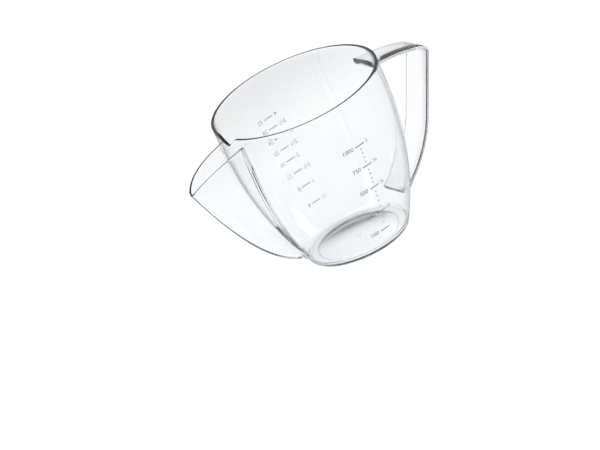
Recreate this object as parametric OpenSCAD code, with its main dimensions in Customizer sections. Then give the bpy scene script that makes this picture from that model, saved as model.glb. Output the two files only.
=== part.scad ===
// Gravy fat separator: a clear moulded cup, a beak spout welded over a slot low in its
// front wall, and a strap handle welded to its back. The cup's axis is Z, the foot stands
// on Z = 0, the spout points to -X and the handle to +X. Millimetres.

/* [Cup] */
// Outside diameter of the cup where its side is upright
cup_d = 137; // [130:1:145]
// Height of the rim above the table
cup_h = 134; // [130:1:145]
// Height of the upright part of the side, under the rim
upright_h = 22; // [16:1:28]
// Radius of the side's swelling curve, below its upright part
side_r = 249; // [235:1:300]
// Thickness of the cup's side
cup_wall = 2.2; // [1.8:0.1:3]
// Thickness of the cup's floor
cup_floor = 2.8; // [2.4:0.1:4]
// Rounding of the corner between side and foot, outside
heel_r = 2; // [1:0.5:4]
// Rounding of the corner between side and floor, inside
floor_r = 6; // [3:0.5:9]
// Width of the ring that the cup stands on
foot_ring_w = 7; // [4:0.5:12]
// Depth of the recess inside that ring
foot_recess = 0.8; // [0.4:0.1:1.2]

/* [Rim] */
// Half the width of the dip in the rim over the spout
dip_half_w = 10.5; // [8:0.5:13]
// Depth of the dip
dip_depth = 6.5; // [5:0.5:7]
// Rounding of the rim's edge
rim_round = 0.7; // [0.3:0.1:0.9]

/* [Slot into the spout] */
// Height of the middle of the slot's round lower end
slot_low_z = 20; // [19.5:0.5:23]
// Height of the middle of its round upper end
slot_high_z = 43.5; // [38:0.5:54]
// Land left between the slot's edge and the inside of the spout
slot_land = 0.3; // [0.2:0.1:0.6]

/* [Spout] */
// How far the spout's tip stands out from the cup's side
spout_out = 46; // [42:0.5:50]
// How far the spout's tip lies under the rim
tip_drop = 22.5; // [20:0.5:26]
// How far the spout's mouth lies under the rim where it meets the cup
mouth_drop = 7.6; // [7.2:0.2:10]
// Half the width of the spout where its sides are parallel
spout_half_w = 15.4; // [14:0.2:17]
// How far under the rim its sides begin to draw in
knee_drop = 30; // [26:1:38]
// Half the width of the spout at its toe
toe_half_w = 5.2; // [5:0.1:6]
// Height of the toe, below which the spout rounds in
toe_z = 30; // [29:0.5:34]
// Height of the spout's lowest point
root_z = 12.5; // [11:0.5:14]
// Thickness of the spout's wall
spout_wall = 1.8; // [1.5:0.1:2]
// Width of the welding flange round the spout
flange_w = 1.2; // [0.8:0.1:2]
// Thickness of the welding flange
flange_t = 3; // [2:0.1:3.4]

/* [Handle] */
// How far the handle's corner stands out from the cup's side
handle_out = 46; // [42:0.5:50]
// Width of the strap
strap_w = 29; // [24:1:32]
// Thickness of the strap
strap_t = 2.6; // [2.2:0.1:3.4]
// Rounding of the strap's edges
strap_round = 0.8; // [0.4:0.1:1]
// How far the strap's upper root lies under the rim
upper_root_drop = 14.5; // [12:0.5:20]
// How far the strap's corner lies under the rim
corner_drop = 27.5; // [24:0.5:32]
// Height of the strap's lower root above the table
lower_root_z = 16.8; // [15:0.2:22]
// Angle of the strap's back from upright
strap_lean = 26.75; // [24:0.25:29]
// Length of the strap's straight back
strap_back = 53; // [48:1:56]
// Rounding of the strap's corner
corner_r = 5; // [4:0.5:8]
// How much thicker the strap is at its roots
root_flare = 1.4; // [0.6:0.2:2.4]

/* [Hidden] */
// Gap left at a welded joint
weld_gap = 0.02;
// How far a piece runs into what then cuts it off
overrun = 3;

cup_r = cup_d/2;
side_top_z = cup_h - upright_h;
spout_tip = [-cup_r - spout_out, cup_h - tip_drop];
mouth_z = cup_h - mouth_drop;
knee_z = cup_h - knee_drop;

clear_plastic = [0.86, 0.89, 0.91, 0.35];
// Steps round a full turn
turn_n = 180;

// ---- Cup ----------------------------------------------------------------------------

// Outside radius of the cup's side at a height
function side_x(z) =
    z >= side_top_z ? cup_r
  : cup_r - side_r + sqrt(side_r*side_r - pow(side_top_z - z, 2));

// An arc of points about c, from angle a to angle b
function arc(c, r, a, b, n) =
    [for (i = [0 : n]) let (t = a + (b - a)*i/n) c + r*[cos(t), sin(t)]];

// The side's curve moved inwards by an amount, from height lo up to height hi
function side_curve(inset, lo, hi, n = 26) =
    let (c = [cup_r - side_r, side_top_z], r = side_r - inset)
    concat(
        arc(c, r, -asin((side_top_z - lo)/r), 0, n),
        [[cup_r - inset, hi]]
    );

// Angle at which a corner of radius q, standing on height z0, touches the side's curve
function corner_angle(inset, q, z0) =
    let (r = side_r - inset) -asin((side_top_z - z0 - q)/(r - q));

// Outline of one side of a vessel: a floor at z0, a corner of radius q and the side
function vessel(inset, q, z0, top) =
    let (
        r = side_r - inset,
        a = corner_angle(inset, q, z0),
        c = [cup_r - side_r, side_top_z] + (r - q)*[cos(a), sin(a)]
    )
    concat(
        [[0, z0]],
        arc(c, q, -90, a, 8),
        side_curve(inset, side_top_z + r*sin(a), top),
        [[0, top]]
    );

// The cup's outside as a filled body, moved outwards by an amount and a little taller
module cup_envelope(out = 0) {
    rotate_extrude($fn = turn_n)
        polygon(concat(
            [[0, -overrun], [side_x(0) + out, -overrun]],
            side_curve(-out, 0, cup_h + overrun),
            [[0, cup_h + overrun]]
        ));
}

// What a shape drawn as seen from the front covers of the front half of the object
module seen_from_front() {
    translate([-cup_r - flange_t - overrun, 0, 0])
        rotate([90, 0, 90])
            linear_extrude(height = cup_r) children();
}

// What the rounding takes off the rim's two edges
module rim_edge() {
    mid = cup_r - cup_wall/2;
    rotate_extrude($fn = turn_n)
        difference() {
            translate([mid - cup_wall, cup_h - rim_round]) square([2*cup_wall, 2*rim_round]);
            for (s = [-1, 1])
                translate([mid + s*(cup_wall/2 - rim_round), cup_h - rim_round])
                    circle(rim_round, $fn = 32);
            translate([mid - cup_wall/2 + rim_round, cup_h - 2*rim_round])
                square([cup_wall - 2*rim_round, 3*rim_round]);
        }
}

// The dip in the rim, a shallow vee with a rounded bottom
module rim_dip() {
    steep = atan2(dip_depth, dip_half_w);
    bottom_r = 2.5;
    foot = bottom_r*[sin(steep), 1 - cos(steep)];
    top = (dip_depth + overrun)/tan(steep);
    seen_from_front()
        translate([0, cup_h - dip_depth])
            polygon(concat(
                arc([0, bottom_r], bottom_r, -90 - steep, -90 + steep, 8),
                [for (s = [1, -1])
                    [s*(foot[0] + top - foot[1]/tan(steep)), dip_depth + overrun]]
            ));
}

// Half the width of the slot at a height, inside the spout with its land to spare
function slot_w(z) = spout_w(z) - spout_wall - slot_land;

// The slot low in the front wall that lets the gravy through, tapering like the spout
module spout_slot() {
    seen_from_front()
        hull()
            for (z = [slot_low_z, slot_high_z])
                translate([0, z]) circle(slot_w(z), $fn = 32);
}

module cup() {
    foot_in_r = side_x(heel_r) - heel_r - foot_ring_w;
    color(clear_plastic)
        difference() {
            rotate_extrude($fn = turn_n)
                difference() {
                    polygon(vessel(0, heel_r, 0, cup_h));
                    polygon(vessel(cup_wall, floor_r, cup_floor, cup_h + overrun));
                }
            cylinder(h = 2*foot_recess, r = foot_in_r, center = true, $fn = turn_n);
            rim_edge();
            rim_dip();
            spout_slot();
        }
}

// ---- Spout --------------------------------------------------------------------------

// How strongly the spout's sides curve as they draw in
side_bend = 1.2;

// Half the width of the spout at a height, made e wider all round
function spout_w(z, e = 0) =
    z < toe_z
  ? (toe_half_w + e)*sqrt(max(0, 1 - pow((toe_z - z)/(toe_z - root_z + e), 2)))
  : let (t = min(1, (z - toe_z)/(knee_z - toe_z)))
    e + toe_half_w + (spout_half_w - toe_half_w)*(1 - pow(1 - t, side_bend));

// The keel's curve, from its root just outside the cup up to the tip. Each pull says how
// far from its end of the curve the point lies that the curve sets out towards.
keel_root = [-side_x(root_z) - 2, root_z];
root_pull = [-31, 12.5];
tip_pull = [14.5, -38.5];
keel = [keel_root, keel_root + root_pull, spout_tip + tip_pull, spout_tip];
function bezier3(p, t) =
    pow(1 - t, 3)*p[0] + 3*pow(1 - t, 2)*t*p[1] + 3*(1 - t)*t*t*p[2] + pow(t, 3)*p[3];
function quad(a, b, c, t) = (1 - t)*(1 - t)*a + 2*(1 - t)*t*b + t*t*c;

// Direction square to the keel, into the spout
function keel_inward(t) =
    let (d = bezier3(keel, min(1, t + 0.01)) - bezier3(keel, t - 0.01))
    [d[1], -d[0]]/norm(d);

// A rib is half a bow, from the cup's side to the keel, with a rounded nose. It leaves the
// cup straight, for this share of the way along X, and has sunk by this share of its fall.
bow_x = 0.8;
bow_z = 0.25;
// The bow runs as far as this share, and the rounded nose takes its place
nose_share = 0.88;
rib_n = 9;
nose_n = 6;
// How much further the nose moves in than the sides do, and what share the bow does
nose_inset = 1.15;
bow_inset = 0.1;
// How late on its way up to the level mouth the nose stops moving upwards
level_late = 6;

// How much nearer than the bow's end the rounded nose lies
function nose_gain(bow) =
    0.5 + 0.5*(2*nose_share*(1 - nose_share)*bow + nose_share*nose_share);
function far_side(p) = [p[0], -p[1], p[2]];

// One rib, from its near edge on the cup round the keel to its far edge. t runs up the
// keel from 0 to 1, and inset moves the rib inwards by the thickness of the wall.
function rib(t, inset, lift = 0) =
    let (
        nose = bezier3(keel, t),
        za = root_z + (mouth_z - root_z)*(nose[1] - root_z)/(spout_tip[1] - root_z),
        w = spout_w(za) - inset,
        a = [-sqrt(pow(side_x(za), 2) - w*w) + overrun, w, za],
        move = nose_inset*inset*keel_inward(t),
        kx = a[0] + (nose[0] - a[0])/nose_gain(bow_x) + move[0],
        kz = za + (nose[1] - za)/nose_gain(bow_z) + move[1]*(1 - pow(t, level_late)),
        k = [kx, 0, kz],
        b = [a[0] + bow_x*(kx - a[0]) + bow_inset*inset, w, za + bow_z*(kz - za)],
        bow = [for (i = [0 : rib_n]) quad(a, b, k, nose_share*i/rib_n)],
        q = bow[rib_n],
        nose_arc = [for (i = [1 : nose_n - 1]) quad(q, k, far_side(q), i/nose_n)],
        back = [for (i = [rib_n : -1 : 0]) far_side(bow[i])]
    )
    [for (p = concat(bow, nose_arc, back)) p + [0, 0, lift]];

// A closed skin over a row of rings of points, each ring mirrored left and right
module skin(rings) {
    m = len(rings[0]);
    n = len(rings);
    last = (n - 1)*m;
    pts = [for (r = rings) each r];
    sides = [
        for (j = [0 : n - 2]) for (i = [0 : m - 1])
            let (k = (i + 1) % m, a = j*m + i, b = j*m + k)
            for (f = [[a, a + m, b], [b, a + m, b + m]]) f
    ];
    caps = [
        for (i = [0 : floor(m/2) - 1]) let (k = m - 1 - i)
            for (f = [[i, i + 1, k], [i + 1, k - 1, k]])
                if (f[0] != f[1] && f[1] != f[2]) each [
                    f,
                    [last + f[0], last + f[2], last + f[1]]
                ]
    ];
    polyhedron(pts, concat(sides, caps), convexity = 6);
}

// The ribs from t0 up to the mouth
rib_rows = 26;
function ribs_from(t0, inset) =
    [for (i = [0 : rib_rows]) rib(t0 + (1 - t0)*i/rib_rows, inset)];

// The flange's outline from the front: e wider than the spout, less near the mouth
flange_taper = 7;
function flange_outline(e, top, n = 30) =
    [for (s = [1, -1]) for (i = [0 : n])
        let (
            k = s > 0 ? i : n - i,
            z = root_z - e + (top - root_z + e)*(1 - cos(90*k/n)),
            shoulder = min(1, (top - z)/flange_taper)
        )
        if (s > 0 || k > 0) [s*(spout_w(z, e) - e*(1 - shoulder)), z]
    ];

// Where the ribs start, low on the keel, on the outside and on the inside
outside_start = 0.04;
inside_start = 0.08;

module spout() {
    color(clear_plastic)
        difference() {
            union() {
                skin(ribs_from(outside_start, 0));
                intersection() {
                    cup_envelope(flange_t);
                    seen_from_front() polygon(flange_outline(flange_w, mouth_z));
                }
            }
            skin(concat(ribs_from(inside_start, spout_wall), [rib(1, spout_wall, 4*overrun)]));
            cup_envelope(weld_gap);
        }
}

// ---- Handle -------------------------------------------------------------------------

// The strap's middle line: out from the upper root, round the corner, straight down and
// in along a curve to the lower root
upper_root_z = cup_h - upper_root_drop;
upper_root = [side_x(upper_root_z) - overrun, upper_root_z];
// Rise over run of the strap as it comes away from the lower root
root_slope = 0.73;
lower_root = [side_x(lower_root_z) - overrun, lower_root_z - root_slope*overrun];
// The corner's point stands outside its rounding by this share of the radius
corner_share = 0.3;
corner = [
    cup_r + handle_out - strap_t/2 + corner_share*corner_r,
    cup_h - corner_drop
];
down = [-sin(strap_lean), -cos(strap_lean)];
lower_bend = corner + strap_back*down;
// The points that pull the strap's two curves: one over its top, set back from the corner
// and under the upper root, and one in line with its back, this far below the lower bend
top_back = 21.5;
top_fall = 3;
back_lead = 31;
over_top = [cup_r + handle_out - top_back, upper_root_z - top_fall];
under_back = lower_bend + back_lead*down;
function toward(a, b, d) = a + d*(b - a)/norm(b - a);
corner_in = toward(corner, over_top, corner_r);
corner_out = toward(corner, lower_bend, corner_r);
strap_line = concat(
    [for (i = [0 : 9]) quad(upper_root, over_top, corner_in, i/10)],
    [for (i = [0 : 6]) quad(corner_in, corner, corner_out, i/6)],
    [for (i = [0 : 16]) quad(lower_bend, under_back, lower_root, i/16)]
);

function line_dir(p, i) =
    let (d = p[min(len(p) - 1, i + 1)] - p[max(0, i - 1)]) d/norm(d);

// A rounded rectangle, w wide and t thick
function strap_section(w, t) =
    let (x = w/2 - strap_round, y = t/2 - strap_round)
    [for (q = [0 : 3]) let (c = [q == 0 || q == 3 ? x : -x, q < 2 ? y : -y])
        each arc(c, strap_round, 90*q, 90*q + 90, 3)];

// The extra thickness of the strap at a point, which fades away from the cup's side
flare_len = 9;
function flare_at(p) =
    root_flare*pow(max(0, 1 - (p[0] - side_x(p[1]))/flare_len), 2);

module handle() {
    rings = [for (i = [0 : len(strap_line) - 1])
        let (p = strap_line[i], d = line_dir(strap_line, i), n = [-d[1], d[0]])
        [for (s = strap_section(strap_w, strap_t + flare_at(p)))
            [p[0] + n[0]*s[1], s[0], p[1] + n[1]*s[1]]]
    ];
    color(clear_plastic)
        difference() {
            skin(rings);
            cup_envelope(weld_gap);
        }
}

cup();
spout();
handle();
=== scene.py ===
"""Gravy fat separator: a clear moulded cup, a beak spout over a slot low in its front wall, a
strap handle at its back, and a printed scale on each side. The main sizes are those of the
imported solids, and each moulding is modelled here again with a smooth skin. Named sizes are in
millimetres, and MM turns them into the scene's metres."""

import math

import bmesh
import bpy
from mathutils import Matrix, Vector


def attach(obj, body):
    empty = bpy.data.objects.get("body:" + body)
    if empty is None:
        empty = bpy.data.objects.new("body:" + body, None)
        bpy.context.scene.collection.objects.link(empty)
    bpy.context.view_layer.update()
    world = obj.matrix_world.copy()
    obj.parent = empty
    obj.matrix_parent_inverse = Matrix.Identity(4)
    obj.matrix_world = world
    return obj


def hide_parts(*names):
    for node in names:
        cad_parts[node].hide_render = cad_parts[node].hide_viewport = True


MM = 0.001

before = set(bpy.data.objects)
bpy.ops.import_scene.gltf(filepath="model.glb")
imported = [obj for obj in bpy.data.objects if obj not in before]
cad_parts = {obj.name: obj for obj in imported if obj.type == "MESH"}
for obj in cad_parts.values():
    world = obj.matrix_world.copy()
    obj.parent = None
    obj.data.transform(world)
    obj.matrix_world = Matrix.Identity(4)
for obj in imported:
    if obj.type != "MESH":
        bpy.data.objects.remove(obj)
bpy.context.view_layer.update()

# ---- Sizes of the mouldings, in millimetres ---------------------------------------------

# Cup: its side stands straight above SIDE_TOP and is one arc of radius SIDE_R below it
CUP_R, CUP_H = 68.5, 134.0
SIDE_TOP, SIDE_R = 112.0, 249.0
WALL, FLOOR = 2.2, 2.8
HEEL_R, FLOOR_R = 2.0, 6.0
RIM_ROUND = 0.45
DIP_HALF_W, DIP_DEPTH, DIP_FLAT = 10.5, 6.5, 1.5

# The ring it stands on, and the gate mark that stands a little proud inside the recess
RING_W, RING_ROUND, RING_FILLET = 7.15, 0.45, 0.25
RECESS = 0.8
GATE_R, GATE_TIP_R, GATE_H = 2.1, 1.9, 0.3

# The slot is as wide as the spout's channel, but for a land to each side
SLOT_LOW, SLOT_HIGH, SLOT_LAND = 20.0, 43.5, 0.3

# The spout and the strap start SINK inside the wall, and are cut to stand WELD_GAP off it
SINK, WELD_GAP = 3.0, 0.02

# Spout: its half widths are those along the joint, from the knee up and at the toe
SPOUT_TIP = (-114.5, 111.5)
MOUTH_Z, KNEE_Z, TOE_Z, ROOT_Z = 126.4, 104.0, 30.0, 12.5
SPOUT_HALF_W, TOE_HALF_W = 15.4, 5.2
SPOUT_WALL, KEEL_THICKER = 1.8, 1.15
LIP_ROUND, LIP_BELOW_TIP = 0.78, 4.0

# Its sides open from toe to knee by a power, eased over a few steps to each side of a height
SIDE_POWER, EASE_STEP, EASE_STEPS = 1.2, 2.0, 4

# The weld's raised edge, which runs out towards the mouth to FLANGE_END of its height
FLANGE_W, FLANGE_T, FLANGE_SINK = 0.9, 2.3, 1.0
FLANGE_RUNOUT, FLANGE_END = 10.0, 0.2

# Handle: a strap with one tight corner and a straight back, thicker where it meets the cup
STRAP_W, STRAP_T, STRAP_ROUND = 29.0, 2.6, 0.8
UPPER_ROOT, LOWER_ROOT, LOWER_SLOPE = 119.5, 16.8, 0.73
HANDLE_OUT, CORNER_Z = 114.5, 106.5
CORNER_R, CORNER_OUT = 5.0, 0.3
BACK_LEAN, BACK_LEN = math.radians(26.75), 53.0
ROOT_FLARE, FLARE_LEN = 1.4, 9.0

# The pulls of the strap's two curves, over from the upper root and under to the lower one
OVER_PULL, OVER_SAG, UNDER_PULL = 21.5, 3.0, 31.0

# How finely the skins are laid out
TURN_STEPS, SIDE_STEPS, TOP_STEPS = 300, 30, 6
RIB_ROWS, BOW_STEPS, NOSE_STEPS = 48, 16, 8
FLANGE_STEPS = 40

# Edges bent by fewer degrees are smoothed, and those of the lip are bent by more
SMOOTH_ANGLE, LIP_ANGLE = 35, 50

# Points nearer than MERGE become one, and heights nearer than HAIR count as the same
MERGE, HAIR = 0.002, 0.01


def side_x(z):
    """Outside radius of the cup at a height."""
    if z >= SIDE_TOP:
        return CUP_R
    return CUP_R - SIDE_R + math.sqrt(SIDE_R**2 - (SIDE_TOP - z) ** 2)


# ---- Small helpers for modelling -------------------------------------------------------


def begin():
    """Leaves edit mode and selects nothing."""
    if bpy.context.object and bpy.context.object.mode != "OBJECT":
        bpy.ops.object.mode_set(mode="OBJECT")
    bpy.ops.object.select_all(action="DESELECT")


def edit(obj):
    """Enters edit mode on one object, with vertices to pick."""
    begin()
    obj.select_set(True)
    bpy.context.view_layer.objects.active = obj
    bpy.ops.object.mode_set(mode="EDIT")
    bpy.ops.mesh.select_mode(type="VERT")


def pick(obj, wanted):
    """Selects the vertices whose place in millimetres wanted() is true of."""
    mesh = bmesh.from_edit_mesh(obj.data)
    bpy.ops.mesh.select_all(action="DESELECT")
    for vertex in mesh.verts:
        if wanted(vertex.co / MM):
            vertex.select = True
    mesh.select_flush_mode()
    bmesh.update_edit_mesh(obj.data)


def merge_doubles():
    """Makes one of all points that lie in the same place."""
    bpy.ops.mesh.select_all(action="SELECT")
    bpy.ops.mesh.remove_doubles(threshold=MERGE * MM)


def face_out():
    """Turns all faces of the mesh in edit mode outwards."""
    bpy.ops.mesh.select_all(action="SELECT")
    bpy.ops.mesh.normals_make_consistent(inside=False)


def pick_open_edges(obj):
    """Merges a sheet's doubles and picks the edges that it is still open along."""
    edit(obj)
    merge_doubles()
    bpy.ops.mesh.select_all(action="DESELECT")
    bpy.ops.mesh.select_mode(type="EDGE")
    bpy.ops.mesh.select_non_manifold()


def close_ends(obj):
    """Closes the two ends of a swept sheet, which makes it a body."""
    pick_open_edges(obj)
    bpy.ops.mesh.edge_face_add()
    face_out()
    bpy.ops.object.mode_set(mode="OBJECT")


def settle(obj):
    """Turns a finished piece's faces outwards, puts its origin at the frame's and smooths it."""
    edit(obj)
    merge_doubles()
    face_out()
    bpy.ops.object.mode_set(mode="OBJECT")
    bpy.ops.object.transform_apply(location=True, rotation=True, scale=True)
    bpy.ops.object.shade_smooth_by_angle(angle=math.radians(SMOOTH_ANGLE))


def apply(obj, kind, **settings):
    """Adds a modifier, sets it and applies it."""
    begin()
    obj.select_set(True)
    bpy.context.view_layer.objects.active = obj
    mod = obj.modifiers.new(kind.title(), kind)
    for name, value in settings.items():
        setattr(mod, name, value)
    bpy.ops.object.modifier_apply(modifier=mod.name)


def cut(obj, tool, how="DIFFERENCE", keep=False):
    """Cuts a piece with a tool, or joins it on, and throws the tool away unless it is kept."""
    apply(obj, "BOOLEAN", object=tool, operation=how, solver="EXACT")
    if not keep:
        bpy.data.objects.remove(tool)


def turned(name, outline):
    """A body turned on the cup's axis: a disc, drawn out ring by ring along the outline."""
    begin()
    r, z = outline[0]
    bpy.ops.mesh.primitive_circle_add(
        vertices=TURN_STEPS, radius=r * MM, location=(0, 0, z * MM), fill_type="TRIFAN"
    )
    obj = bpy.context.object
    obj.name = obj.data.name = name
    bpy.ops.object.transform_apply(location=True, rotation=True, scale=True)
    bpy.ops.object.mode_set(mode="EDIT")
    bpy.ops.mesh.select_mode(type="EDGE")
    bpy.ops.mesh.select_all(action="SELECT")
    bpy.ops.mesh.region_to_loop()
    for r2, z2 in outline[1:]:
        bpy.ops.mesh.extrude_region_move(
            TRANSFORM_OT_translate={"value": (0, 0, (z2 - z) * MM)}
        )
        if r2 != r:
            bpy.ops.transform.resize(
                value=(r2 / r, r2 / r, 1), center_override=(0, 0, z2 * MM)
            )
        r, z = r2, z2
    bpy.ops.mesh.extrude_region_move()
    bpy.ops.mesh.merge(type="CENTER")
    bpy.ops.object.mode_set(mode="OBJECT")
    return obj


def lofted(name, rows):
    """A sheet laid through rows of points: a grid whose crossings are set on them."""
    begin()
    nx, ny = len(rows[0]), len(rows)
    bpy.ops.mesh.primitive_grid_add(x_subdivisions=nx - 1, y_subdivisions=ny - 1, size=1)
    obj = bpy.context.object
    obj.name = obj.data.name = name
    for vertex in obj.data.vertices:
        vertex.co = rows[vertex.index // nx][vertex.index % nx] * MM
    return obj


def arc(cx, cz, r, a, b, steps):
    """Points along an arc, angles in degrees, both ends included."""
    turns = [math.radians(a + (b - a) * i / steps) for i in range(steps + 1)]
    return [(cx + r * math.cos(t), cz + r * math.sin(t)) for t in turns]


def bezier(p, t):
    """The point at share t along a curve with one or two pulls between its ends."""
    s = 1 - t
    if len(p) == 3:
        return s * s * p[0] + 2 * s * t * p[1] + t * t * p[2]
    return s**3 * p[0] + 3 * s * s * t * p[1] + 3 * s * t * t * p[2] + t**3 * p[3]


def side_points(inset, low, high):
    """The side's curve moved inwards, from angle low on its big circle up to a height."""
    bulge = arc(CUP_R - SIDE_R, SIDE_TOP, SIDE_R - inset, low, 0, steps=SIDE_STEPS)
    rise = [1 - i / TOP_STEPS for i in range(1, TOP_STEPS + 1)]
    return bulge + [(CUP_R - inset, high - (high - SIDE_TOP) * left) for left in rise]


def corner(inset, q, z0):
    """The corner of radius q from a floor at z0 to the side, and the angle it meets it at."""
    r = SIDE_R - inset
    a = -math.asin((SIDE_TOP - z0 - q) / (r - q))
    cx, cz = CUP_R - SIDE_R + (r - q) * math.cos(a), SIDE_TOP + (r - q) * math.sin(a)
    return arc(cx, cz, q, -90, math.degrees(a), steps=8), math.degrees(a)


# ---- Cup --------------------------------------------------------------------------------

# A turned body starts and ends at a small disc on its axis
DISC_R = 1.0


def cup_outline():
    """Once round the cup's wall: out under the foot, up the side, over the rim and back down."""
    heel, heel_a = corner(0, HEEL_R, 0)
    inner, inner_a = corner(WALL, FLOOR_R, FLOOR)
    step = side_x(HEEL_R) - HEEL_R - RING_W
    foot = [
        (DISC_R, RECESS - GATE_H),
        (GATE_TIP_R, RECESS - GATE_H),
        (GATE_R, RECESS),
        *arc(step - RING_FILLET, RECESS - RING_FILLET, RING_FILLET, 90, 0, steps=3),
        *arc(step + RING_ROUND, RING_ROUND, RING_ROUND, 180, 270, steps=4),
    ]
    rim_z = CUP_H - RIM_ROUND
    outside = side_points(0, heel_a, rim_z)
    rim = arc(CUP_R - RIM_ROUND, rim_z, RIM_ROUND, 0, 90, steps=5)[1:]
    rim += arc(CUP_R - WALL + RIM_ROUND, rim_z, RIM_ROUND, 90, 180, steps=5)
    inside = side_points(WALL, inner_a, rim_z)[::-1][1:]
    floor = inner[::-1][1:] + [(DISC_R, FLOOR)]
    return foot + heel + outside[1:] + rim + inside + floor


def cup_body():
    """The filled outside of the cup, a hair larger and higher, to cut what is welded on."""
    heel, heel_a = corner(-WELD_GAP, HEEL_R, 0)
    side = side_points(-WELD_GAP, heel_a, CUP_H + SINK)
    return turned("cup_body", [(DISC_R, 0), *heel, *side[1:], (DISC_R, CUP_H + SINK)])


def spout_w(z, e=0.0):
    """Half the width of the spout at a height, eased at its knee and made e wider all round."""
    if z < TOE_Z:
        part = 1 - ((TOE_Z - z) / (TOE_Z - ROOT_Z + e)) ** 2
        return (TOE_HALF_W + e) * math.sqrt(max(0.0, part))
    spread = min(EASE_STEP, (z - TOE_Z) / EASE_STEPS)
    near = [z + k * spread for k in range(-EASE_STEPS, EASE_STEPS + 1)]
    shares = [min(1.0, (height - TOE_Z) / (KNEE_Z - TOE_Z)) for height in near]
    opened = sum(1 - (1 - t) ** SIDE_POWER for t in shares) / len(shares)
    return e + TOE_HALF_W + (SPOUT_HALF_W - TOE_HALF_W) * opened


def slot_cutter():
    """A long prism with round ends, narrow below, that opens the slot from outside."""
    low, high = (spout_w(z) - SPOUT_WALL - SLOT_LAND for z in (SLOT_LOW, SLOT_HIGH))
    start, length = -75, 35
    begin()
    bpy.ops.mesh.primitive_circle_add(
        vertices=48,
        radius=low * MM,
        location=(start * MM, 0, SLOT_LOW * MM),
        rotation=(math.pi / 2, 0, math.pi / 2),
        fill_type="NGON",
    )
    tool = bpy.context.object
    bpy.ops.object.transform_apply(location=True, rotation=True, scale=True)
    edit(tool)
    pick(tool, lambda p: p.z > SLOT_LOW - HAIR)
    centre = (start * MM, 0, SLOT_HIGH * MM)
    bpy.ops.transform.translate(value=(0, 0, (SLOT_HIGH - SLOT_LOW) * MM))
    bpy.ops.transform.resize(value=(1, high / low, high / low), center_override=centre)
    bpy.ops.mesh.select_all(action="SELECT")
    bpy.ops.mesh.extrude_region_move(
        TRANSFORM_OT_translate={"value": (length * MM, 0, 0)}
    )
    face_out()
    bpy.ops.object.mode_set(mode="OBJECT")
    return tool


def make_cup():
    """The cup, its rim drawn down into the dip and its front wall opened by the slot."""
    cup = turned("cup_moulding", cup_outline())
    edit(cup)
    pick(cup, lambda p: abs(p.y) < DIP_FLAT and p.x < 0 and p.z > CUP_H - 2 * RIM_ROUND)
    bpy.ops.transform.translate(
        value=(0, 0, -DIP_DEPTH * MM),
        use_proportional_edit=True,
        proportional_edit_falloff="LINEAR",
        proportional_size=DIP_HALF_W * MM,
    )
    face_out()
    cut(cup, slot_cutter())
    settle(cup)
    return cup


# ---- Spout --------------------------------------------------------------------------------

# The keel's curve in the XZ plane, from KEEL_OFF off the cup's wall under the toe to the tip
KEEL_OFF, KEEL_STEP = 2, 0.01
KEEL_ROOT, KEEL_TIP = Vector((-side_x(ROOT_Z) - KEEL_OFF, ROOT_Z)), Vector(SPOUT_TIP)
ROOT_PULL, TIP_PULL = Vector((-31, 12.5)), Vector((14.5, -38.5))
KEEL = [KEEL_ROOT, KEEL_ROOT + ROOT_PULL, KEEL_TIP + TIP_PULL, KEEL_TIP]

# Shares of the keel at which the two skins start, the outer one lower
OUTSIDE_START, INSIDE_START = 0.04, 0.08

# Each rib leaves the cup along a bow, and past NOSE_SHARE of it turns round the nose
BOW_X, BOW_Z, BOW_INSIDE = 0.8, 0.25, 0.1
NOSE_SHARE = 0.88
MOUTH_FADE = 6


def nose_gain(bow):
    """How far towards its corner the middle of a rib's nose comes, as a share."""
    return 0.5 + 0.5 * (2 * NOSE_SHARE * (1 - NOSE_SHARE) * bow + NOSE_SHARE**2)


def rib(t, inset):
    """One line round the spout at share t of the keel, from the cup round the keel and back.
    The inner skin is inset from the outer one, and comes level with it at the mouth."""
    nose = bezier(KEEL, t)
    d = bezier(KEEL, min(1, t + KEEL_STEP)) - bezier(KEEL, t - KEEL_STEP)
    inward = Vector((d.y, -d.x)).normalized() * KEEL_THICKER * inset
    za = ROOT_Z + (MOUTH_Z - ROOT_Z) * (nose.y - ROOT_Z) / (SPOUT_TIP[1] - ROOT_Z)
    w = spout_w(za) - inset
    a = Vector((SINK - math.sqrt(side_x(za) ** 2 - w * w), w, za))
    kx = a.x + (nose.x - a.x) / nose_gain(BOW_X) + inward.x
    kz = za + (nose.y - za) / nose_gain(BOW_Z) + inward.y * (1 - t**MOUTH_FADE)
    k = Vector((kx, 0, kz))
    b = Vector((a.x + BOW_X * (kx - a.x) + BOW_INSIDE * inset, w, za + BOW_Z * (kz - za)))
    bow = [bezier((a, b, k), NOSE_SHARE * i / BOW_STEPS) for i in range(BOW_STEPS + 1)]
    other = [Vector((p.x, -p.y, p.z)) for p in bow]
    turn = [bezier((bow[-1], k, other[-1]), i / NOSE_STEPS) for i in range(1, NOSE_STEPS)]
    return bow + turn + other[::-1]


def skin(name, start, inset):
    """The spout's outside or inside, folded shut along its lowest line."""
    ribs = [rib(start + (1 - start) * i / RIB_ROWS, inset) for i in range(RIB_ROWS + 1)]
    closed = [Vector((p.x, 0, p.z)) for p in ribs[0]]
    return lofted(name, [closed, *ribs])


def flange_line(e):
    """Places (y, z) along the weld, e outside the spout's skin, down one side and up the other."""
    points = []
    for i in range(-FLANGE_STEPS, FLANGE_STEPS + 1):
        rise = 1 - math.cos(math.pi / 2 * abs(i) / FLANGE_STEPS)
        z = ROOT_Z - e + (MOUTH_Z - ROOT_Z + e) * rise
        w = spout_w(z, e)
        if e > 0:
            w -= e * (1 - min(1.0, (MOUTH_Z - z) / FLANGE_RUNOUT))
        points.append((math.copysign(w, -i) if i else 0.0, z))
    return points


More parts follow.
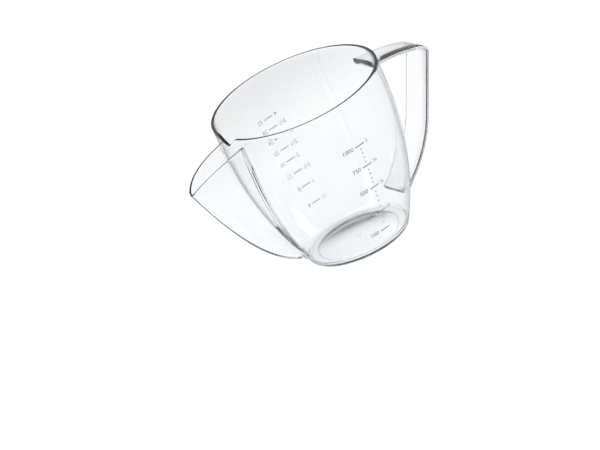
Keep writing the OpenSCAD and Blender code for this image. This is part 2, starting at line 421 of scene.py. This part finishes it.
def on_wall(point, out):
    """The place (y, z) on the front of the cup, brought out from its wall."""
    y, z = point
    return Vector((-math.sqrt((side_x(z) + out) ** 2 - y * y), y, z))


def flange_band():
    """The weld's raised edge: a strip with four corners, swept round the spout's joint."""
    rows = []
    for o, i in zip(flange_line(FLANGE_W), flange_line(-SPOUT_WALL / 2)):
        share = FLANGE_END + (1 - FLANGE_END) * (MOUTH_Z - o[1]) / FLANGE_RUNOUT
        sunk = on_wall(o, -FLANGE_SINK)
        edge, root = on_wall(o, FLANGE_T * min(1.0, share)), on_wall(i, FLANGE_T)
        rows.append([sunk, edge, root, on_wall(i, -FLANGE_SINK), sunk])
    band = lofted("flange", rows)
    close_ends(band)
    return band


def drop_low_edges(obj, z):
    """Leaves only the edges above a height selected."""
    mesh = bmesh.from_edit_mesh(obj.data)
    for e in mesh.edges:
        if e.select and min(v.co.z for v in e.verts) < z * MM:
            e.select = False
    mesh.select_flush_mode()
    bmesh.update_edit_mesh(obj.data)


def make_spout(filled_cup):
    """The spout: two skins bridged at the mouth, a rounded lip, and the weld's raised edge."""
    spout = skin("spout_moulding", OUTSIDE_START, 0.0)
    inside = skin("spout_inside", INSIDE_START, SPOUT_WALL)
    begin()
    inside.select_set(True)
    spout.select_set(True)
    bpy.context.view_layer.objects.active = spout
    bpy.ops.object.join()
    pick_open_edges(spout)
    bpy.ops.mesh.bridge_edge_loops()
    face_out()
    bpy.ops.mesh.select_all(action="DESELECT")
    bpy.ops.mesh.edges_select_sharp(sharpness=math.radians(LIP_ANGLE))
    drop_low_edges(spout, SPOUT_TIP[1] - LIP_BELOW_TIP)
    bpy.ops.mesh.bevel(offset=LIP_ROUND * MM, segments=3)
    bpy.ops.object.mode_set(mode="OBJECT")
    cut(spout, flange_band(), "UNION")
    cut(spout, filled_cup, keep=True)
    settle(spout)
    return spout


# ---- Handle -------------------------------------------------------------------------------


def strap_line():
    """The strap's middle line in the XZ plane, from its upper root round to its lower one."""

    def toward(a, b, d):
        return a + (b - a).normalized() * d

    def along(curve, steps):
        return [bezier(curve, i / steps) for i in range(steps + 1)]

    top = Vector((side_x(UPPER_ROOT) - SINK, UPPER_ROOT))
    low = Vector((side_x(LOWER_ROOT) - SINK, LOWER_ROOT - LOWER_SLOPE * SINK))
    bend = Vector((HANDLE_OUT - STRAP_T / 2 + CORNER_OUT * CORNER_R, CORNER_Z))
    down = Vector((-math.sin(BACK_LEAN), -math.cos(BACK_LEAN)))
    lower_bend = bend + BACK_LEN * down
    over = Vector((HANDLE_OUT - OVER_PULL, UPPER_ROOT - OVER_SAG))
    under = lower_bend + UNDER_PULL * down
    into, out = toward(bend, over, CORNER_R), toward(bend, lower_bend, CORNER_R)
    line = along((top, over, into), steps=16)
    line += along((into, bend, out), steps=12)[1:-1]
    line += [out + (lower_bend - out) * i / 8 for i in range(9)]
    line += along((lower_bend, under, low), steps=28)[1:]
    return line


def strap_section():
    """The strap's cross section, a flat bar with rounded corners, once round."""
    half_w, half_t = STRAP_W / 2 - STRAP_ROUND, STRAP_T / 2 - STRAP_ROUND
    section = []
    for q, (sx, sy) in enumerate(((1, 1), (-1, 1), (-1, -1), (1, -1))):
        section += arc(sx * half_w, sy * half_t, STRAP_ROUND, 90 * q, 90 * q + 90, steps=5)
    return section + section[:1]


def make_handle(filled_cup):
    """The strap, swept along its line and thickened at both roots."""
    line, section = strap_line(), strap_section()
    rows = []
    for i, p in enumerate(line):
        d = (line[min(i + 1, len(line) - 1)] - line[max(i - 1, 0)]).normalized()
        flare = max(0.0, 1 - (p.x - side_x(p.y)) / FLARE_LEN) ** 2 * ROOT_FLARE / 2
        row = []
        for y, t in section:
            t += math.copysign(flare, t)
            row.append(Vector((p.x - d.y * t, y, p.y + d.x * t)))
        rows.append(row)
    strap = lofted("handle_moulding", rows)
    close_ends(strap)
    cut(strap, filled_cup, keep=True)
    settle(strap)
    return strap


# ---- Printed scales ----------------------------------------------------------------------

# The marks are drawn flat in front of the cup at PRINT_Y, then laid onto it
PRINT_Y = -80.0
TICK_W, TICK_H, DOT = 8.5, 0.8, 1.1
FIGURE_H, FIGURE_GAP, FIGURE_BOLD = 3.6, 1.6, 0.01
INK_T, INK_GAP = 0.04, 0.02

# A figure's height as a share of its type size
FONT_SHARE = 0.72

# Each line of a scale: its volume in litres, and the figures left and right of its tick
LITRE_LINES = [
    (1.0, "1000", "1"),
    (0.75, "750", "¾"),
    (0.5, "500", "½"),
    (0.25, "250", "¼"),
    (0.1, "100", ""),
]

# A dot at each fifty millilitres between those lines
FIFTIES = [k / 20 for k in range(3, 20) if k not in (5, 10, 15)]

# Half cups of an eighth of a litre on the left, and on the right their four ounces each
HALF_CUPS = ("½", "1", "1½", "2", "2½", "3", "3½", "4")
CUP_LINES = [(k / 8, cups, str(4 * k)) for k, cups in enumerate(HALF_CUPS, 1)]

# A litre in cubic millimetres, the slice it is summed in, and what the spout's channel adds
LITRE, SLICE, WITH_SPOUT = 1e6, 0.1, 1.03


def level(litres):
    """Height that a volume comes up to in the cup, with a little of it in the spout."""
    z, held = FLOOR, 0.0
    while held * WITH_SPOUT < litres * LITRE:
        z += SLICE
        lift = max(0.0, FLOOR + FLOOR_R - z)
        r = side_x(z) - WALL - FLOOR_R + math.sqrt(FLOOR_R**2 - lift**2)
        held += SLICE * math.pi * r * r
    return z


def dot(x, z):
    """A round dot, upright in front of the cup."""
    begin()
    bpy.ops.mesh.primitive_circle_add(
        vertices=16,
        radius=DOT / 2 * MM,
        location=(x * MM, PRINT_Y * MM, z * MM),
        fill_type="TRIFAN",
    )
    obj = bpy.context.object
    obj.rotation_euler.x = math.pi / 2
    return obj


def tick(x, z):
    """The short bar of one line."""
    begin()
    bpy.ops.mesh.primitive_grid_add(
        x_subdivisions=14,
        y_subdivisions=2,
        size=MM,
        location=(x * MM, PRINT_Y * MM, z * MM),
    )
    obj = bpy.context.object
    obj.rotation_euler.x = math.pi / 2
    obj.scale = (TICK_W, TICK_H, 1)
    return obj


def figure(text, x, z, side):
    """A number beside a tick, its near end towards the tick."""
    begin()
    bpy.ops.object.text_add(location=(x * MM, PRINT_Y * MM, z * MM))
    obj = bpy.context.object
    obj.data.body = text
    obj.data.size = FIGURE_H / FONT_SHARE * MM
    obj.data.resolution_u = 3
    obj.data.align_x, obj.data.align_y = side, "CENTER"
    obj.data.offset = FIGURE_BOLD * MM
    obj.rotation_euler.x = math.pi / 2
    bpy.ops.object.convert(target="MESH")
    return bpy.context.object


def make_scale(name, lines, dots, cup, middle, turn):
    """Ticks, numbers and dots drawn flat, laid onto the wall as ink and turned to their side."""
    marks = []
    for litres, left, right in lines:
        z = level(litres)
        marks.append(tick(middle, z))
        marks.append(figure(left, middle - TICK_W / 2 - FIGURE_GAP, z, "RIGHT"))
        if right:
            marks.append(figure(right, middle + TICK_W / 2 + FIGURE_GAP, z, "LEFT"))
    marks += [dot(middle, level(litres)) for litres in dots]
    begin()
    for obj in marks:
        obj.select_set(True)
    scale = marks[0]
    bpy.context.view_layer.objects.active = scale
    bpy.ops.object.transform_apply(location=True, rotation=True, scale=True)
    bpy.ops.object.join()
    scale.name = scale.data.name = name
    edit(scale)
    bpy.ops.mesh.select_all(action="SELECT")
    bpy.ops.mesh.quads_convert_to_tris()
    bpy.ops.object.mode_set(mode="OBJECT")
    apply(
        scale,
        "SHRINKWRAP",
        target=cup,
        wrap_method="PROJECT",
        wrap_mode="ABOVE_SURFACE",
        use_project_y=True,
        offset=INK_GAP * MM,
    )
    apply(scale, "SOLIDIFY", thickness=INK_T * MM, offset=1.0)
    scale.rotation_euler.z = turn
    settle(scale)
    return scale


# ---- Materials ----------------------------------------------------------------------------


def node(tree, kind, **sockets):
    """Adds a node and sets its sockets by name."""
    made = tree.nodes.new(kind)
    for name, value in sockets.items():
        made.inputs[name.replace("_", " ")].default_value = value
    return made


def noise(tree, coords, scale, detail, stretch=None):
    """A noise on the object's own coordinates, drawn out along an axis if asked."""
    made = node(tree, "ShaderNodeTexNoise", Scale=scale, Detail=detail)
    source = coords.outputs["Object"]
    if stretch:
        drawn = node(tree, "ShaderNodeMapping", Scale=stretch)
        tree.links.new(source, drawn.inputs["Vector"])
        source = drawn.outputs["Vector"]
    tree.links.new(source, made.inputs["Vector"])
    return made


def ramp(tree, source, *stops):
    """A colour ramp through (position, colour) stops: its two ends, then any between them."""
    made = tree.nodes.new("ShaderNodeValToRGB")
    elements = made.color_ramp.elements
    for i, (place, colour) in enumerate(stops):
        stop = elements[i] if i < 2 else elements.new(place)
        stop.position, stop.color = place, (*colour, 1)
    tree.links.new(source, made.inputs["Fac"])
    return made


def span(tree, source, low, high, start, end):
    """Maps a value from low..high onto start..end."""
    made = node(
        tree, "ShaderNodeMapRange", From_Min=low, From_Max=high, To_Min=start, To_Max=end
    )
    tree.links.new(source, made.inputs["Value"])
    return made


def maths(tree, how, *sources):
    """One Math node, fed with numbers and node outputs."""
    made = tree.nodes.new("ShaderNodeMath")
    made.operation = how
    for socket, source in zip(made.inputs, sources):
        if isinstance(source, float):
            socket.default_value = source
        else:
            tree.links.new(source, socket)
    return made.outputs[0]


def clear_plastic(name, wave, density, drawn, edge):
    """Clear moulded plastic: a slow wave and faint flow lines in its skin, patchy haze, hairline
    scratches, a scuffed foot, and painted shade that darkens its colour where it is seen along the
    surface. The wave's height is in millimetres, drawn is small along the axes that the flow lines
    follow, and edge is how light the painted edge shade leaves the plastic along its edges."""
    mat = bpy.data.materials.new(name)
    mat.use_nodes = True
    tree = mat.node_tree
    tree.nodes.clear()
    links = tree.links
    out = tree.nodes.new("ShaderNodeOutputMaterial")
    glass = node(tree, "ShaderNodeBsdfPrincipled", Transmission_Weight=1.0, IOR=1.49)
    coords = tree.nodes.new("ShaderNodeTexCoord")

    # Skin: slow wave, flow lines drawn out along the moulding, scratches
    swell = noise(tree, coords, scale=26.0, detail=1.0)
    flow = noise(tree, coords, scale=70.0, detail=2.0, stretch=drawn)
    hair = noise(tree, coords, scale=300.0, detail=3.0, stretch=(1.0, 9.0, 0.6))
    scratch = ramp(tree, hair.outputs["Fac"], (0.62, (0, 0, 0)), (0.66, (1, 1, 1)))
    wavy = node(tree, "ShaderNodeBump", Strength=1.0, Distance=wave * MM)
    links.new(swell.outputs["Fac"], wavy.inputs["Height"])
    lined = node(tree, "ShaderNodeBump", Strength=1.0, Distance=wave * MM / 5)
    links.new(flow.outputs["Fac"], lined.inputs["Height"])
    links.new(wavy.outputs["Normal"], lined.inputs["Normal"])
    scored = node(tree, "ShaderNodeBump", Strength=0.3, Distance=0.004 * MM)
    scored.invert = True
    links.new(scratch.outputs["Color"], scored.inputs["Height"])
    links.new(lined.outputs["Normal"], scored.inputs["Normal"])
    links.new(scored.outputs["Normal"], glass.inputs["Normal"])

    # Polish: patchy haze from washing, duller in the scratches and where the foot rubs
    patches = noise(tree, coords, scale=60.0, detail=6.0)
    haze = span(tree, patches.outputs["Fac"], 0.35, 0.75, 0.010, 0.045)
    split = tree.nodes.new("ShaderNodeSeparateXYZ")
    links.new(coords.outputs["Object"], split.inputs["Vector"])
    foot = span(tree, split.outputs["Z"], 0.4 * MM, 1.2 * MM, 0.30, 0.0)
    dull = maths(tree, "MULTIPLY_ADD", scratch.outputs["Color"], 0.03, haze.outputs["Result"])
    dull = maths(tree, "MAXIMUM", dull, foot.outputs["Result"])
    links.new(dull, glass.inputs["Roughness"])

    # Tint, uneven by a hair, with painted shade on top: darker towards the edges, where the
    # surface is seen edge-on
    facing = node(tree, "ShaderNodeLayerWeight", Blend=0.5)
    painted_edge_shade = ramp(
        tree,
        facing.outputs["Facing"],
        (0.30, (0.975, 0.98, 0.985)),
        (0.97, (edge, edge * 1.1, edge * 1.2)),
        (0.72, (0.94, 0.95, 0.96)),
        (0.86, (0.38 + edge, 0.40 + edge, 0.42 + edge)),
    )
    cloud = noise(tree, coords, scale=18.0, detail=3.0)
    patch = ramp(
        tree, cloud.outputs["Fac"], (0.35, (0.985, 0.99, 1.0)), (0.65, (1.0, 1.0, 1.0))
    )
    tone_and_edge_shade = tree.nodes.new("ShaderNodeMix")
    tone_and_edge_shade.data_type, tone_and_edge_shade.blend_type = "RGBA", "MULTIPLY"
    tone_and_edge_shade.inputs["Factor"].default_value = 1.0
    links.new(painted_edge_shade.outputs["Color"], tone_and_edge_shade.inputs["A"])
    links.new(patch.outputs["Color"], tone_and_edge_shade.inputs["B"])
    links.new(tone_and_edge_shade.outputs["Result"], glass.inputs["Base Color"])

    # Lamps shine through it on what lies behind
    clear = node(tree, "ShaderNodeBsdfTransparent", Color=(0.95, 0.95, 0.95, 1))
    path = tree.nodes.new("ShaderNodeLightPath")
    mix = tree.nodes.new("ShaderNodeMixShader")
    links.new(path.outputs["Is Shadow Ray"], mix.inputs["Fac"])
    links.new(glass.outputs["BSDF"], mix.inputs[1])
    links.new(clear.outputs["BSDF"], mix.inputs[2])
    links.new(mix.outputs["Shader"], out.inputs["Surface"])
    depth = node(
        tree, "ShaderNodeVolumeAbsorption", Color=(0.70, 0.76, 0.80, 1), Density=density
    )
    links.new(depth.outputs["Volume"], out.inputs["Volume"])
    return mat


def grey_ink(name, dark):
    """Grey screen-printing ink: uneven cover, a dull grain and thin spots where it has worn."""
    mat = bpy.data.materials.new(name)
    mat.use_nodes = True
    tree = mat.node_tree
    ink = tree.nodes["Principled BSDF"]
    coords = tree.nodes.new("ShaderNodeTexCoord")
    cover = noise(tree, coords, scale=900.0, detail=4.0)
    full, worn = [tuple(v * k for k in (1.0, 1.02, 1.04)) for v in (dark, dark + 0.14)]
    shade = ramp(tree, cover.outputs["Fac"], (0.35, full), (0.70, worn))
    tree.links.new(shade.outputs["Color"], ink.inputs["Base Color"])
    grain = noise(tree, coords, scale=4000.0, detail=2.0)
    rough = span(tree, grain.outputs["Fac"], 0.0, 1.0, 0.42, 0.68)
    tree.links.new(rough.outputs["Result"], ink.inputs["Roughness"])
    bump = node(tree, "ShaderNodeBump", Strength=0.4, Distance=0.01 * MM)
    tree.links.new(grain.outputs["Fac"], bump.inputs["Height"])
    tree.links.new(bump.outputs["Normal"], ink.inputs["Normal"])
    return mat


def dress(obj, mat, slot, *nodes):
    """Gives a piece its one material and its body, and hides the CAD nodes it stands in for. Its
    slot is not used.
    """
    obj.data.materials.clear()
    obj.data.materials.append(mat)
    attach(obj, "root")
    if nodes:
        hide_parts(*nodes)


# ---- The object -----------------------------------------------------------------------------

filled_cup = cup_body()
cup = make_cup()
spout = make_spout(filled_cup)
handle = make_handle(filled_cup)
bpy.data.objects.remove(filled_cup)
near_scale = make_scale("near_scale", LITRE_LINES, FIFTIES, cup, middle=-1.5, turn=0.0)
far_scale = make_scale("far_scale", CUP_LINES, [], cup, middle=-3.0, turn=math.pi)

# Each moulding's edge value sets how dark its painted edge shade gets
clear_cup = clear_plastic("clear_cup", 0.12, 30.0, drawn=(1.0, 1.0, 0.08), edge=0.04)
dress(cup, clear_cup, "cup_plastic", "cup")
clear_spout = clear_plastic("clear_spout", 0.10, 30.0, drawn=(0.2, 1.0, 0.3), edge=0.03)
dress(spout, clear_spout, "spout_plastic", "spout")
clear_handle = clear_plastic("clear_handle", 0.16, 20.0, drawn=(0.15, 1.0, 0.15), edge=0.35)
dress(handle, clear_handle, "handle_plastic", "handle")
dress(near_scale, grey_ink("near_ink", 0.16), "cup_plastic")
# The far scale is the same ink as the near one, painted paler: painted light for its being seen
# through the cup's walls
dress(far_scale, grey_ink("far_ink_painted_pale", 0.42), "cup_plastic")

# ---- Floor, light and camera ------------------------------------------------------------------

# In metres and degrees, but for the lens and its sensor in millimetres
FLOOR_SIZE = 12
LAMP_AIM = (0, 0, 0.06)
CAMERA_AT = (-1.005034, -2.065164, 1.063312)
CAMERA_TURN = (63.65569569, 22.38855513, -35.68119421)
LENS, SENSOR_W = 194.834, 36.0


def make_floor():
    """A pale floor that looks white to the camera and a little dimmer through the plastic."""
    begin()
    bpy.ops.mesh.primitive_plane_add(size=FLOOR_SIZE)
    floor = bpy.context.object
    floor.name = "floor"
    mat = bpy.data.materials.new("pale_floor")
    mat.use_nodes = True
    tree = mat.node_tree
    tree.nodes.clear()
    out = tree.nodes.new("ShaderNodeOutputMaterial")
    matt = node(tree, "ShaderNodeBsdfDiffuse", Color=(0.45, 0.45, 0.45, 1))
    glow = node(tree, "ShaderNodeEmission", Color=(1, 1, 1, 1))
    coords = tree.nodes.new("ShaderNodeTexCoord")
    split = tree.nodes.new("ShaderNodeSeparateXYZ")
    tree.links.new(coords.outputs["Object"], split.inputs["Vector"])
    reach = tree.nodes.new("ShaderNodeVectorMath")
    reach.operation = "LENGTH"
    tree.links.new(coords.outputs["Object"], reach.inputs[0])
    # White to the eye out to its far edge, and dimmer towards the back seen through the walls
    open_view = span(tree, reach.outputs["Value"], 0.5, 2.5, 0.6, 0.95)
    through = span(tree, split.outputs["Y"], 0.2, 0.34, 0.6, 0.395)
    path = tree.nodes.new("ShaderNodeLightPath")
    eye = maths(tree, "MULTIPLY", path.outputs["Is Camera Ray"], open_view.outputs["Result"])
    mirrored = maths(tree, "MULTIPLY", path.outputs["Is Glossy Ray"], 0.4)
    inner = maths(tree, "MAXIMUM", path.outputs["Is Transmission Ray"], mirrored)
    strength = maths(tree, "MULTIPLY_ADD", inner, through.outputs["Result"], eye)
    tree.links.new(strength, glow.inputs["Strength"])
    add = tree.nodes.new("ShaderNodeAddShader")
    tree.links.new(matt.outputs[0], add.inputs[0])
    tree.links.new(glow.outputs[0], add.inputs[1])
    tree.links.new(add.outputs[0], out.inputs["Surface"])
    floor.data.materials.append(mat)


def make_world():
    """White to the camera, and a softer studio, darker overhead, to the object."""
    world = bpy.data.worlds.new("studio")
    bpy.context.scene.world = world
    world.use_nodes = True
    tree = world.node_tree
    tree.nodes.clear()
    out = tree.nodes.new("ShaderNodeOutputWorld")
    coords = tree.nodes.new("ShaderNodeTexCoord")
    split = tree.nodes.new("ShaderNodeSeparateXYZ")
    tree.links.new(coords.outputs["Generated"], split.inputs["Vector"])
    rise = ramp(tree, split.outputs["Z"], (0.3, (0.95, 0.95, 0.95)), (0.75, (0.5, 0.5, 0.5)))
    studio = node(tree, "ShaderNodeBackground", Strength=0.7)
    tree.links.new(rise.outputs["Color"], studio.inputs["Color"])
    white = node(tree, "ShaderNodeBackground", Color=(1, 1, 1, 1))
    path = tree.nodes.new("ShaderNodeLightPath")
    mix = tree.nodes.new("ShaderNodeMixShader")
    tree.links.new(path.outputs["Is Camera Ray"], mix.inputs["Fac"])
    tree.links.new(studio.outputs[0], mix.inputs[1])
    tree.links.new(white.outputs[0], mix.inputs[2])
    tree.links.new(mix.outputs[0], out.inputs["Surface"])


def softbox(name, at, size, power):
    """A rectangular lamp turned towards the middle of the cup."""
    begin()
    bpy.ops.object.light_add(type="AREA", location=at)
    lamp = bpy.context.object
    lamp.name = name
    lamp.data.shape = "RECTANGLE"
    lamp.data.size, lamp.data.size_y = size
    lamp.data.energy = power
    aim = Vector(LAMP_AIM) - Vector(at)
    lamp.rotation_euler = aim.to_track_quat("-Z", "Y").to_euler()


make_floor()
make_world()
softbox("softbox_over", (-0.3, 0.3, 1.6), (1.6, 1.2), 14)
softbox("softbox_right", (1.3, -0.5, 0.7), (0.5, 1.2), 8)
softbox("softbox_left", (-1.4, -0.2, 0.8), (0.4, 1.0), 5)

begin()
bpy.ops.object.camera_add(location=CAMERA_AT, rotation=[math.radians(a) for a in CAMERA_TURN])
camera = bpy.context.object
camera.data.lens = LENS
camera.data.sensor_width = SENSOR_W
camera.data.clip_start = 0.05
bpy.context.scene.camera = camera
bpy.context.scene.view_settings.view_transform = "Standard"
